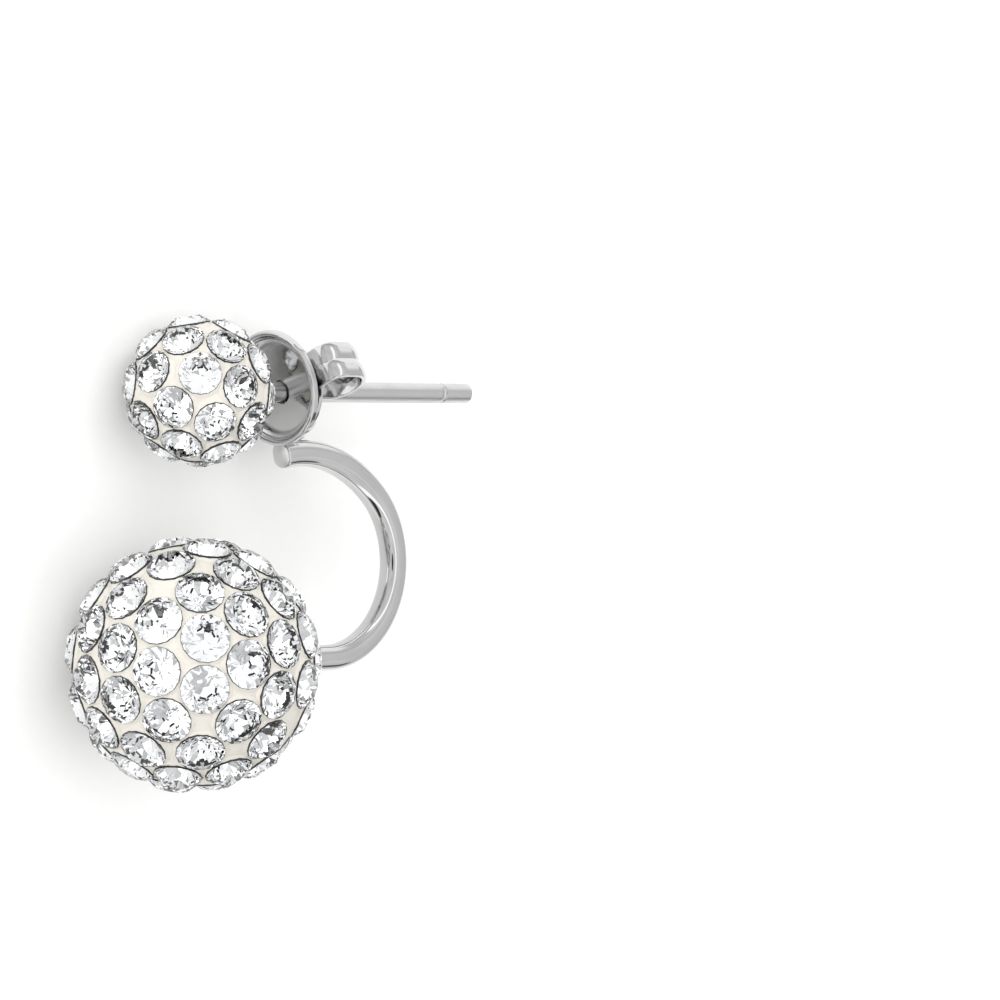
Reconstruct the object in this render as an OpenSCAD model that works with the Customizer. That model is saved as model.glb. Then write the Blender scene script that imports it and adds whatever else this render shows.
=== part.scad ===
// Ear jacket earring: a small paved ball on a straight post, a friction nut,
// and a jacket whose curved arm carries a larger paved ball under the first.
//
// The earring's own frame has the small ball's middle at its origin, the post
// along +X and the large ball below on Z. The last section lays the whole
// earring down on its side, the way it rests by itself on a table.

/* [Balls] */
// Diameter over the stones of the small ball
small_ball_d = 5.9; // [5:0.1:7]
// Diameter over the stones of the large ball
large_ball_d = 9.96; // [8:0.02:11]
// Number of stones on the small ball
small_count = 30; // [26:1:31]
// Number of stones on the large ball
large_count = 68; // [60:1:70]

/* [Stones] */
// Width of a small ball's stone across its girdle corners
small_stone_d = 1.64; // [1.3:0.01:1.66]
// Width of a large ball's stone across its girdle corners
large_stone_d = 1.88; // [1.5:0.01:1.9]
// Table width as a share of the stone's width
table_share = 0.56; // [0.45:0.01:0.7]
// Reach of the star facets as a share of the stone's width
star_share = 0.8; // [0.75:0.01:0.88]
// Reach of the pavilion's kite tails as a share of the stone's width
tail_share = 0.36; // [0.2:0.01:0.5]
// Crown height as a share of the stone's width
crown_share = 0.16; // [0.1:0.01:0.2]
// Girdle thickness as a share of the stone's width
girdle_share = 0.03; // [0.02:0.005:0.05]
// Pavilion depth as a share of the stone's width
pavilion_share = 0.4; // [0.3:0.01:0.45]
// Distance the small stones' middles are spread to
small_spacing = 1.715; // [1.7:0.005:1.73]
// Distance the large stones' middles are spread to
large_spacing = 1.975; // [1.96:0.005:1.99]
// Gap between a stone and its socket in the clay
socket_gap = 0.06; // [0.04:0.01:0.08]
// How far the clay lies under the girdles
clay_drop = 0; // [0:0.01:0.05]

/* [Post] */
// Diameter of the post wire
post_d = 0.8; // [0.7:0.05:1]
// Distance from the small ball's middle to the post's tip
post_reach = 14.8; // [12:0.05:18]
// Length of the post's tapered tip
tip_len = 0.22; // [0.1:0.02:0.4]
// Distance from the tip to the middle of the stop groove
groove_from_tip = 1.7; // [1:0.05:2.5]
// Radius of the stop groove's round section
groove_r = 0.16; // [0.1:0.01:0.2]
// Depth of the stop groove
groove_depth = 0.07; // [0.03:0.01:0.09]
// How far the post goes into the ball past its middle
post_root = 0.6; // [0:0.1:1]
// Radial gap between the post and the hole in the small ball
glue_gap = 0.08; // [0.05:0.01:0.15]

/* [Dish] */
// Diameter of the polished dish behind the small ball
dish_d = 4.6; // [4:0.05:4.8]
// Distance from the small ball's middle to the dish's hole
dish_x = 4.52; // [4.3:0.01:4.6]
// Depth of the dish from its lip to its floor
dish_depth = 0.45; // [0.3:0.01:0.6]
// Thickness of the dish's floor
dish_floor = 0.24; // [0.2:0.01:0.3]
// Width of the dish's rounded lip
lip_w = 0.24; // [0.2:0.01:0.35]
// Radius of the cove between the dish's floor and its wall
cove_r = 0.4; // [0.3:0.01:0.44]
// Height the dish's back rises from its middle to its rim
back_rise = 0.41; // [0.3:0.01:0.5]
// Radial clearance of the dish's hole on the post
dish_clearance = 0.08; // [0.05:0.01:0.1]
// How far the jacket leans on the post, in degrees
jacket_lean = 9; // [0:0.5:10]
// How far the dish's middle lies above its hole
dish_rise = 0.2; // [0:0.01:0.25]

/* [Arm] */
// Thickness of the arm's wire across the curve
arm_t = 1.03; // [0.9:0.02:1.2]
// Width of the arm's wire
arm_w = 0.97; // [0.9:0.02:1.2]
// Corner radius of the arm's wire
arm_corner = 0.4; // [0.3:0.01:0.44]
// Distance from the small ball's middle to the arm's cut end
arm_x = 4.42; // [4.4:0.01:4.5]
// Distance of the arm's cut end below the post
arm_z = 2.5; // [2.4:0.01:2.6]
// Climb of the arm at its cut end, in degrees
arm_climb = 10.6; // [8:0.1:12]
// Radius of the arm's shoulder, measured along the wire's middle
shoulder_r = 5.72; // [5:0.01:6.5]
// Angle the shoulder turns through
shoulder_turn = 54.3; // [45:0.1:60]
// Radius of the arm's lower bend
belly_r = 3.75; // [3.4:0.01:4]
// Angle the lower bend turns through
belly_turn = 134.6; // [130:0.1:138]
// Straight length from the lower bend to the large ball's middle
arm_run = 7.25; // [6.8:0.01:7.6]
// How deep the arm's end sits in the large ball
arm_depth = 1.9; // [1.5:0.1:2.5]

/* [Friction nut] */
// Distance from the small ball's middle to the nut's plate
nut_x = 4.84; // [4.8:0.01:6]
// Diameter of the nut's round plate
plate_d = 3.6; // [3:0.05:4]
// Thickness of the nut's sheet metal
sheet_t = 0.18; // [0.15:0.01:0.25]
// Width of the nut's curled strip
strip_w = 1.55; // [1.2:0.05:1.8]
// Outer radius of each curled wing
wing_r = 1; // [0.8:0.01:1.1]
// Distance from the post's middle to a wing's middle
wing_out = 1.64; // [1.5:0.01:1.8]
// Radius where each wing leaves the plate
wing_root_r = 0.45; // [0.3:0.01:0.6]
// Length of the straight part of each wing
wing_leg = 1.1; // [0.9:0.05:1.3]
// Gap between the plate and the strip's turned-in end
curl_gap = 0.12; // [0.08:0.01:0.2]
// Depth of the line pressed along each wing
press_depth = 0.05; // [0.02:0.01:0.08]
// Width of the line pressed along each wing
press_w = 0.3; // [0.2:0.05:0.6]
// Radial clearance of the nut on the post
nut_clearance = 0.06; // [0.03:0.01:0.1]
// Turn of the nut about the post, in degrees
nut_turn = 31; // [25:1:40]

/* [Hidden] */
$fn = 64;

// Where the earring rests: turned on its side, then leaned until the large
// ball, the small ball and the nut all touch the floor.
lay_lean = 10.8158;
lay_pitch = 4.4606;
lay_shift = [-4.8327, 6.2633, 2.9568];

post_r = post_d / 2;
small_r = small_ball_d / 2;
large_r = large_ball_d / 2;

// The picture shows the earring from halfway between the ball's front and side.
view_right = [cos(45), -sin(45), 0];
view_toward = [-cos(45), -sin(45), 0];
view_up = [0, 0, 1];

// Stones that can be seen in the picture, charted by hand for each ball.
// Columns: right, up, both as shares of the ball's radius.
SMALL_SEEN = [
    [0.08, 0.22], [-0.35, -0.10], [0.18, -0.34], [-0.54, 0.33], [-0.11, 0.66],
    [0.56, 0.22], [0.41, 0.66], [-0.76, -0.15], [-0.45, -0.60], [0.64, -0.30],
    [0.85, 0.34], [0.18, -0.74], [-0.45, 0.76], [-0.86, 0.37], [0.02, 0.95],
    [-0.66, -0.64]
];
LARGE_SEEN = [
    [-0.28, -0.02], [0.09, -0.16], [0.14, 0.23], [0.47, 0.04], [0.09, 0.58],
    [-0.22, 0.38], [-0.60, 0.18], [-0.60, -0.25], [-0.17, -0.45], [0.38, -0.36],
    [0.13, -0.65], [0.73, 0.19], [0.45, 0.43], [0.37, 0.77], [-0.16, 0.79],
    [-0.49, 0.53], [-0.81, 0.36], [-0.86, -0.04], [-0.44, -0.61], [-0.12, -0.86],
    [-0.78, -0.45], [0.62, -0.58], [0.69, -0.24], [0.70, 0.59], [-0.52, 0.79],
    [0.09, 0.95], [-0.82, 0.54], [0.47, 0.85], [0.94, 0.28], [0.88, -0.28],
    [0.37, -0.82], [-0.43, -0.83]
];

// Directions of the two holes the stones keep clear of.
post_way = [1, 0, 0];
arm_heading = arm_climb - shoulder_turn - belly_turn;
arm_way = [-cos(arm_heading), 0, -sin(arm_heading)];

// A unit vector along v.
function unit(v) = v / norm(v);

// A point charted in the picture, as a direction from the ball's middle.
function seen_way(p) =
    let (far = min(1, norm(p) / 0.985))
    let (q = norm(p) > 0.985 ? p / far : p)
    unit(q[0] * view_right + q[1] * view_up
        + sqrt(max(0, 1 - q[0] * q[0] - q[1] * q[1])) * view_toward);

// Starting directions for the stones behind: a spiral over the far half.
function hidden_way(i, count) =
    let (toward = 0.12 - (i + 0.5) / count)
    let (turn = 137.508 * (i + 0.5))
    let (side = sqrt(1 - toward * toward))
    side * cos(turn) * view_right + side * sin(turn) * view_up
        + toward * view_toward;

// The push that moves p away from q when they are nearer than wanted.
function push(p, q, wanted) =
    let (gap = norm(p - q))
    gap > 0.0001 && gap < wanted ? (p - q) * (0.45 * (wanted - gap) / gap) : [0, 0, 0];

function sum_of(list) = [for (v = list) 1] * list;

// Stones spread apart round by round; the charted ones are pulled home.
function spread(ways, homes, holes, wanted, pull, rounds) =
    rounds == 0 ? ways :
    spread(
        [for (i = [0:len(ways) - 1])
            unit(ways[i]
                + sum_of([for (q = concat(ways, holes)) push(ways[i], q, wanted)])
                + (i < len(homes) ? pull * (homes[i] - ways[i]) : [0, 0, 0]))],
        homes, holes, wanted, pull * 0.96, rounds - 1);

function paving(seen, count, hole, wanted) =
    let (homes = [for (p = seen) seen_way(p)])
    let (extra = count - len(seen))
    let (start = concat(homes, [for (i = [0:extra - 1]) hidden_way(i, extra)]))
    spread(start, homes, [hole], wanted, 0.15, 140);

function girdle_at(ball_r, stone_d) = ball_r - (crown_share + girdle_share) * stone_d;

// Spacings as shares of the radius the girdles lie at.
small_wanted = small_spacing / girdle_at(small_r, small_stone_d);
large_wanted = large_spacing / girdle_at(large_r, large_stone_d);

// Everything below turns its own Z axis to point along v.
module along(v) {
    rotate([0, acos(v[2] / norm(v)), atan2(v[1], v[0])])
        children();
}

// One cut stone, its table at height top: a table ringed by star and kite
// facets, a thin girdle, and a pavilion of kites that meet in a point.
module stone(top, d) {
    crown = crown_share * d;
    table_r = table_share * d / 2;
    star_r = star_share * d / 2;
    tail_r = tail_share * d / 2;
    girdle_r = d / 2;
    upper = top - crown;
    lower = upper - girdle_share * d;
    pavilion = pavilion_share * d;
    half = cos(22.5);
    // heights that keep each kite flat
    star_z = upper + crown * (girdle_r - star_r * half) / (girdle_r - table_r);
    tail_z = lower - pavilion * (1 - tail_r * half / girdle_r);
    points = concat(
        [for (i = [0:7]) [table_r * cos(45 * i), table_r * sin(45 * i), top]],
        [for (i = [0:7]) [star_r * cos(45 * i + 22.5), star_r * sin(45 * i + 22.5), star_z]],
        [for (i = [0:15]) [girdle_r * cos(22.5 * i), girdle_r * sin(22.5 * i), upper]],
        [for (i = [0:15]) [girdle_r * cos(22.5 * i), girdle_r * sin(22.5 * i), lower]],
        [for (i = [0:7]) [tail_r * cos(45 * i + 22.5), tail_r * sin(45 * i + 22.5), tail_z]],
        [[0, 0, lower - pavilion]]
    );
    faces = concat(
        [[for (i = [7:-1:0]) i]],
        [for (i = [0:7]) [i, (i + 1) % 8, 8 + i]],
        [for (i = [0:7]) [i, 8 + i, 16 + 2 * i, 8 + (i + 7) % 8]],
        [for (i = [0:7]) [8 + i, 17 + 2 * i, 16 + 2 * i]],
        [for (i = [0:7]) [8 + i, 16 + (2 * i + 2) % 16, 17 + 2 * i]],
        [for (i = [0:15]) [16 + i, 16 + (i + 1) % 16, 32 + (i + 1) % 16, 32 + i]],
        [for (i = [0:7]) [48 + i, 32 + 2 * i, 33 + 2 * i]],
        [for (i = [0:7]) [48 + i, 33 + 2 * i, 32 + (2 * i + 2) % 16]],
        [for (i = [0:7]) [56, 48 + (i + 7) % 8, 32 + 2 * i, 48 + i]]
    );
    polyhedron(points = points, faces = faces);
}

// The round hole in the clay that one stone sits in, evenly clear of its
// pavilion and a little wider than its girdle.
module socket(top, d) {
    girdle_z = top - (crown_share + girdle_share) * d;
    slope = 0.5 / pavilion_share;
    drop = socket_gap * sqrt(1 + slope * slope) / slope;
    floor_r = socket_gap / 2;
    low = girdle_z - pavilion_share * d - drop + floor_r / slope;
    high = girdle_z + 0.02;
    translate([0, 0, low])
        cylinder(h = high - low, r1 = floor_r, r2 = floor_r + (high - low) * slope);
}

module stones(ways, ball_r, d) {
    for (i = [0:len(ways) - 1])
        along(ways[i])
            rotate([0, 0, 37 * i])
                stone(ball_r, d);
}

module clay(ways, ball_r, d) {
    difference() {
        sphere(r = girdle_at(ball_r, d) - clay_drop);
        for (way = ways)
            along(way)
                socket(ball_r, d);
        children();
    }
}

// The section of the arm's wire: a rectangle with large round corners.
module wire_section() {
    square([arm_t - 2 * arm_corner, arm_w], center = true);
    square([arm_t, arm_w - 2 * arm_corner], center = true);
    for (x = [-1, 1])
        for (y = [-1, 1])
            translate([x * (arm_t / 2 - arm_corner), y * (arm_w / 2 - arm_corner)])
                circle(r = arm_corner);
}

// The point on X and Z reached after a bend that turns downward.
function after_bend(from, heading, r, turn) = [
    from[0] + r * (sin(heading) - sin(heading - turn)),
    from[1] - r * (cos(heading) - cos(heading - turn))
];

module bend(from, heading, r, turn) {
    translate([from[0] + r * sin(heading), 0, from[1] - r * cos(heading)])
        rotate([90, 0, 0])
            rotate([0, 0, 90 + heading - turn])
                rotate_extrude(angle = turn)
                    translate([r, 0])
                        wire_section();
}

module straight(from, heading, length) {
    translate([from[0], 0, from[1]])
        rotate([0, 90 - heading, 0])
            linear_extrude(height = length)
                wire_section();
}

arm_start = [arm_x, -arm_z];
shoulder_end = after_bend(arm_start, arm_climb, shoulder_r, shoulder_turn);
belly_end = after_bend(shoulder_end, arm_climb - shoulder_turn, belly_r, belly_turn);
large_at = [
    belly_end[0] - arm_run * arm_way[0],
    0,
    belly_end[1] - arm_run * arm_way[2]
];

// The dish about its own hole, its hollow side up.
module dish() {
    r = dish_d / 2;
    lip_z = dish_floor / 2 + dish_depth;
    wall_r = r - lip_w;
    back_r = (r * r + back_rise * back_rise) / (2 * back_rise);
    difference() {
        translate([dish_rise, 0, 0])
            rotate_extrude() {
                difference() {
                    union() {
                        translate([0, -dish_floor / 2])
                            square([r, dish_floor / 2 + lip_z - lip_w / 2]);
                        translate([r - lip_w / 2, lip_z - lip_w / 2])
                            circle(r = lip_w / 2);
                    }
                    // the hollow: a flat floor with a rounded cove
                    translate([0, dish_floor / 2])
                        square([wall_r - cove_r, 2]);
                    translate([wall_r - cove_r, dish_floor / 2 + cove_r])
                        circle(r = cove_r);
                    translate([0, dish_floor / 2 + cove_r])
                        square([wall_r, 2]);
                    // the domed back
                    difference() {
                        translate([0, -2])
                            square([r + 1, 2 + back_rise - dish_floor / 2]);
                        translate([0, back_r - dish_floor / 2])
                            circle(r = back_r, $fn = 128);
                    }
                    translate([-3, -3])
                        square([3, 6]);
                }
            }
        translate([0, 0, -1])
            cylinder(h = 3, r = post_r + dish_clearance);
    }
}

// One wing of the nut: a strip that leaves the plate, turns over and comes back.
module wing() {
    leg_end = nut_x + sheet_t + wing_leg;
    middle = wing_out;
    outer = middle + wing_r;
    inner_x = nut_x + sheet_t + curl_gap;
    difference() {
        union() {
            translate([nut_x + wing_root_r, outer - wing_root_r, -strip_w / 2])
                rotate([0, 0, 90])
                    rotate_extrude(angle = 90)
                        translate([wing_root_r - sheet_t, 0])
                            square([sheet_t, strip_w]);
            translate([nut_x + wing_root_r, outer - sheet_t, -strip_w / 2])
                cube([sheet_t + wing_leg - wing_root_r, sheet_t, strip_w]);
            translate([inner_x, middle - wing_r, -strip_w / 2])
                cube([wing_leg - curl_gap, sheet_t, strip_w]);
            // the strip's end, turned in and notched to grip the post
            translate([inner_x, post_r / 2, -strip_w / 2])
                cube([sheet_t, middle - wing_r - post_r / 2 + sheet_t, strip_w]);
            translate([leg_end, middle, -strip_w / 2])
                rotate([0, 0, -90])
                    rotate_extrude(angle = 180)
                        translate([wing_r - sheet_t, 0])
                            square([sheet_t, strip_w]);
        }
        // the pressed line along the outside of the strip
        translate([nut_x + wing_root_r, outer - press_depth, -press_w / 2])
            cube([wing_leg, 1, press_w]);
    }
}

module small_ball() {
    color("#efe6d8")
        laid()
            clay(paving(SMALL_SEEN, small_count, post_way, small_wanted), small_r, small_stone_d)
                translate([-post_root - glue_gap, 0, 0])
                    rotate([0, 90, 0])
                        cylinder(h = small_r + 2, r = post_r + glue_gap);
}

module small_stones() {
    color("#e8ecef")
        laid()
            stones(paving(SMALL_SEEN, small_count, post_way, small_wanted), small_r, small_stone_d);
}

module large_ball() {
    // just clears the wire's round corners
    bore_r = norm([arm_t / 2 - arm_corner, arm_w / 2 - arm_corner]) + arm_corner + glue_gap;
    color("#efe6d8")
        laid()
            translate(large_at)
                clay(paving(LARGE_SEEN, large_count, arm_way, large_wanted), large_r, large_stone_d)
                    along(arm_way)
                        translate([0, 0, large_r - arm_depth - glue_gap])
                            cylinder(h = arm_depth + 2, r = bore_r);
}

module large_stones() {
    color("#e8ecef")
        laid()
            translate(large_at)
                stones(paving(LARGE_SEEN, large_count, arm_way, large_wanted), large_r, large_stone_d);
}

module post() {
    color("#cfd2d6")
        laid()
            rotate([0, 90, 0])
                difference() {
                    union() {
                        translate([0, 0, -post_root])
                            cylinder(h = post_reach + post_root - tip_len, r = post_r);
                        translate([0, 0, post_reach - tip_len])
                            cylinder(h = tip_len, r1 = post_r, r2 = 0.6 * post_r);
                    }
                    translate([0, 0, post_reach - groove_from_tip])
                        rotate_extrude()
                            translate([post_r + groove_r - groove_depth, 0])
                                circle(r = groove_r);
                }
}

module jacket() {
    straight_len = arm_run - large_r + arm_depth;
    color("#cfd2d6")
        laid() {
            translate([dish_x, 0, 0])
                rotate([0, -90 - jacket_lean, 0])
                    dish();
            bend(arm_start, arm_climb, shoulder_r, shoulder_turn);
            bend(shoulder_end, arm_climb - shoulder_turn, belly_r, belly_turn);
            straight(belly_end, arm_heading, straight_len);
        }
}

module nut() {
    half = wing_out + wing_r - wing_root_r;
    color("#cfd2d6")
        laid()
            rotate([-nut_turn, 0, 0])
                difference() {
                    union() {
                        translate([nut_x, 0, 0])
                            rotate([0, 90, 0])
                                cylinder(h = sheet_t, r = plate_d / 2);
                        translate([nut_x, -half, -strip_w / 2])
                            cube([sheet_t, 2 * half, strip_w]);
                        wing();
                        rotate([180, 0, 0])
                            wing();
                    }
                    rotate([0, 90, 0])
                        cylinder(h = 20, r = post_r + nut_clearance);
                }
}

// The earring's own frame, laid on its side and leaned to its resting contacts.
module laid() {
    translate(lay_shift)
        rotate([-lay_lean, lay_pitch, 0])
            rotate([-90, 0, 0])
                children();
}

small_ball();
small_stones();
post();
nut();
jacket();
large_ball();
large_stones();
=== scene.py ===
import math

import bmesh
import bpy
from bpy.props import FloatProperty, FloatVectorProperty, IntProperty, PointerProperty
from bpy.types import Operator, Panel, PropertyGroup
from mathutils import Matrix, Vector


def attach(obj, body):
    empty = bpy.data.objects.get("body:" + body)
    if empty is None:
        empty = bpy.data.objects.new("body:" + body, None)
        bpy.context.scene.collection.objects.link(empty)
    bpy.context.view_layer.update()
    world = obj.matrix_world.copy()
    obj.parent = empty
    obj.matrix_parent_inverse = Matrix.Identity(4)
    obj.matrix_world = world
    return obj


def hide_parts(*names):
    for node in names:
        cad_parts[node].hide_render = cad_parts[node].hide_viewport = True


bl_info = {
    "name": "Ear Jacket Earring",
    "version": (1, 0, 0),
    "blender": (4, 5, 0),
    "location": "View3D > Sidebar > Earring",
    "description": "Dresses the earring's solids in crystal, clay and polished silver",
    "category": "Add Mesh",
}

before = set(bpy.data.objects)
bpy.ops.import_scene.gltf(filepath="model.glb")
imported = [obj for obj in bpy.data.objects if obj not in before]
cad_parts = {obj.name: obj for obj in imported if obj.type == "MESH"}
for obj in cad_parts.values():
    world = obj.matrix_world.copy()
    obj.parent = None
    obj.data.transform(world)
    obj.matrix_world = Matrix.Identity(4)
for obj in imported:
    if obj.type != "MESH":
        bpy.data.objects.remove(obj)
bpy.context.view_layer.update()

MM = 0.001

# How the earring lies: the same turn and shift as the part's own source.
LAY_LEAN = math.radians(-10.8158)
LAY_PITCH = math.radians(4.4606)
LAY_SHIFT = Vector((-4.8327, 6.2633, 2.9568))
LAID = (
    Matrix.Scale(MM, 4)
    @ Matrix.Translation(LAY_SHIFT)
    @ Matrix.Rotation(LAY_PITCH, 4, "Y")
    @ Matrix.Rotation(LAY_LEAN, 4, "X")
    @ Matrix.Rotation(math.radians(-90), 4, "X")
)

# In millimetres, in the earring's own frame: the middle of the small ball and of it all.
SMALL_AT = Vector((0, 0, 0))
EARRING_AT = Vector((4, 0, -6))

# Vertices of the solids' meshes nearer than this are one: in the stones, in the clay.
STONE_WELD = 0.002 * MM
CLAY_WELD = 0.001 * MM
# Distance between the lumps of the pressed clay.
LUMP_SPACING = 0.6 * MM
# How clay falls away from a stone: shares of the collar's width and of its fall.
COLLAR_FALL = ((0.35, 0.52), (0.7, 0.84))
# Stops on the plain post that keep its shading even, in millimetres.
POST_STOPS = (5.0, 9.0)
# The picture is this many dots square, on a sensor this many millimetres wide.
PICTURE = 1000
SENSOR = 36

# The studio. Softboxes: name, place from the earring in metres, width and height,
# share of the power.
SOFTBOXES = (
    ("key", (-0.40, 0.25, 0.44), (0.85, 0.60), 1.0),
    ("top", (-0.02, 0.48, 0.26), (0.80, 0.42), 0.68),
    ("side", (0.44, 0.02, 0.30), (0.42, 0.70), 0.47),
    ("low", (-0.50, -0.10, 0.20), (0.70, 0.32), 0.81),
)
# Cards on the tent's wall: direction, cosines of their outer and inner edges, grey.
CARDS = (
    ((-0.6509, 0.1327, 0.7474), 0.985, 0.992, 0.03),
    ((0.75, -0.55, 0.36), 0.985, 0.992, 0.15),
    ((-0.30, -0.88, 0.35), 0.95, 0.96, 0.03),
    ((0.72, 0.675, 0.16), 0.96, 0.988, 1.2),
)
# The tent's grey by height: dark at the horizon, bright overhead.
TENT = ((0.0, 0.48), (0.05, 0.52), (0.12, 0.74), (0.45, 0.82), (0.7, 0.86), (1.0, 0.90))
# How uneven the tent's cloth is, as shares of its grey.
CLOTH = (0.82, 1.12)
# The strip overhead: half its width where it fades and where it is full, the heights
# it rises between, and its brightness.
STRIP_WIDTH = (0.14, 0.08)
STRIP_HEIGHT = (0.2, 0.3)
STRIP_GREY = 1.6


def hex_colour(text):
    """An sRGB hex colour as linear red, green and blue."""
    values = [int(text[i:i + 2], 16) / 255 for i in (1, 3, 5)]
    return [v / 12.92 if v <= 0.04045 else ((v + 0.055) / 1.055) ** 2.4 for v in values]


def length(name, description, millimetres):
    """A size property, shown in Blender's own units."""
    return FloatProperty(name=name, description=description, default=millimetres * MM,
                         min=0, precision=5, unit="LENGTH", subtype="DISTANCE")


def number(name, description, value):
    return FloatProperty(name=name, description=description, default=value)


def angle(name, description, degrees):
    return FloatProperty(name=name, description=description, default=math.radians(degrees),
                         unit="ROTATION", subtype="ANGLE")


def colour(name, description, text):
    return FloatVectorProperty(name=name, description=description, default=hex_colour(text),
                               size=3, min=0, max=1, subtype="COLOR")


class EarringBalls(PropertyGroup):
    small_d: length("Small ball", "Diameter over the small ball's stones", 5.9)
    large_d: length("Large ball", "Diameter over the large ball's stones", 9.96)
    small_stone_d: length("Small stones", "Width of a small ball's stone", 1.67)
    large_stone_d: length("Large stones", "Width of a large ball's stone", 1.92)
    table: number("Table", "Table width as a share of the stone's", 0.56)
    star: number("Star", "Reach of the star facets", 0.8)
    tail: number("Tail", "Reach of the pavilion's kite tails", 0.36)
    crown: number("Crown", "Crown height as a share of the width", 0.16)
    girdle: number("Girdle", "Girdle thickness as a share of the width", 0.03)
    pavilion: number("Pavilion", "Pavilion depth as a share of the width", 0.4)
    # The foil's edge ring reaches this far. It is coloured near black as painted shade.
    sealed: number("Sealed edge", "Reach of the foil's sealed edge", 1.013)
    collar_w: length("Clay collar", "Width of the clay pressed up round a stone", 0.16)
    collar_lump: length("Clay unevenness", "How uneven the pressed clay is", 0.03)
    seal_w: length("Clay seal", "Width of the clay pushed against the metal", 0.26)
    seal_h: length("Clay seal height", "Height of that clay above the ball", 0.07)
    seed: IntProperty(name="Seed", description="Seed of the clay's unevenness", default=7)


class EarringJacket(PropertyGroup):
    dish_d: length("Dish", "Diameter of the dish", 4.6)
    dish_x: length("Dish place", "Distance from the small ball to the dish's hole", 4.52)
    dish_depth: length("Dish depth", "Depth from the lip to the floor", 0.45)
    dish_floor: length("Dish floor", "Thickness of the floor", 0.24)
    lip_w: length("Lip", "Width of the rounded lip", 0.24)
    cove_r: length("Cove", "Radius between the floor and the wall", 0.4)
    back_rise: length("Back rise", "Rise of the back from its middle to its rim", 0.41)
    hole_r: length("Hole", "Radius of the post hole", 0.48)
    dish_rise: length("Dish rise", "How far the dish's middle lies above its hole", 0.2)
    lean: angle("Lean", "Lean of the jacket on the post", 9)
    arm_t: length("Arm thickness", "Thickness of the wire across the curve", 1.03)
    arm_w: length("Arm width", "Width of the wire", 0.97)
    arm_corner: length("Arm corner", "Corner radius of the wire", 0.4)
    arm_x: length("Arm end X", "Distance from the small ball to the cut end", 4.42)
    arm_z: length("Arm end Z", "Distance of the cut end below the post", 2.5)
    climb: angle("Climb", "Climb of the arm at its cut end", 10.6)
    shoulder_r: length("Shoulder", "Radius of the arm's shoulder", 5.72)
    shoulder_turn: angle("Shoulder turn", "Angle the shoulder turns through", 54.3)
    belly_r: length("Lower bend", "Radius of the lower bend", 3.75)
    belly_turn: angle("Lower turn", "Angle the lower bend turns through", 134.6)
    run: length("Run", "Straight length to the large ball's middle", 7.25)
    arm_depth: length("Arm depth", "How deep the arm's end sits in the large ball", 1.9)
    bevel: length("Edge", "Rounding of the cut end's edge", 0.07)
    bead_x: length("Bead place", "Distance from the small ball to the solder bead", 4.83)
    bead_z: length("Bead drop", "Distance of the solder bead below the post", 2.12)
    bead_long: length("Bead length", "Half the bead's length along the arm", 0.3)
    bead_wide: length("Bead width", "Half the bead's width across the arm", 0.46)
    bead_thick: length("Bead height", "Half the bead's height", 0.24)
    bead_lean: angle("Bead lean", "Lean of the bead along the arm", 25)


class EarringPostNut(PropertyGroup):
    post_r: length("Post radius", "Radius of the post", 0.4)
    post_reach: length("Post reach", "Distance from the small ball to the tip", 14.8)
    post_root: length("Post root", "How far the post goes past the ball's middle", 0.6)
    tip_len: length("Tip", "Length of the tapered tip", 0.22)
    groove_at: length("Groove", "Distance from the tip to the stop groove", 1.7)
    groove_r: length("Groove radius", "Radius of the groove's section", 0.16)
    groove_depth: length("Groove depth", "Depth of the groove", 0.07)
    nut_x: length("Nut place", "Distance from the small ball to the nut's plate", 4.84)
    plate_d: length("Plate", "Diameter of the nut's plate", 3.6)
    sheet_t: length("Sheet", "Thickness of the nut's sheet", 0.18)
    strip_w: length("Strip", "Width of the curled strip", 1.55)
    wing_r: length("Wing radius", "Outer radius of each wing", 1)
    wing_out: length("Wing place", "Distance from the post to a wing's middle", 1.64)
    root_r: length("Wing root", "Radius where a wing leaves the plate", 0.8)
    leg: length("Wing leg", "Length of the straight part of each wing", 1.1)
    curl_gap: length("Curl gap", "Gap between the plate and the turned-in end", 0.12)
    hole_r: length("Nut hole", "Radius of the nut's hole", 0.46)
    arch: length("Wing arch", "How far each half of a wing falls from its crown", 0.09)
    turn: angle("Nut turn", "Turn of the nut about the post", 31)
    edge: length("Sheet edge", "Rounding of the sheet's edges", 0.05)


class EarringFinish(PropertyGroup):
    silver: colour("Silver", "Rhodium-plated silver", "#D5D5D5")
    silver_dull: colour("Silver, worn", "The plating where it is a little darker", "#C7C7C8")
    clay: colour("Clay", "Cream epoxy clay", "#D8D5CE")
    clay_deep: colour("Clay, deep", "The clay's warmer patches", "#D2CDC3")
    crystal: colour("Crystal", "Clear cut crystal", "#FFFFFF")
    crystal_cool: colour("Crystal, cool", "The crystal's cooler tint", "#F8FAFB")
    foil: colour("Foil", "Silver foil behind the stones", "#EEEEEF")
    foil_dark: colour("Foil, dark", "The foil's darker stones", "#DADBDC")
    # The lacquer's two greys are near black: real grey lacquer, darkened as painted shade for the
    # dark line of the gap under each girdle. The two differ at random.
    lacquer: colour("Lacquer", "Grey lacquer that seals the foil's edge", "#121212")
    lacquer_and_shade_thin: colour("Lacquer, thin", "The lacquer where it is thinner", "#3A3B3D")
    floor: colour("Floor", "White studio board", "#F8F8F7")
    floor_tooth: colour("Floor, tooth", "The board in the dips of its tooth", "#F5F5F4")


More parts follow.
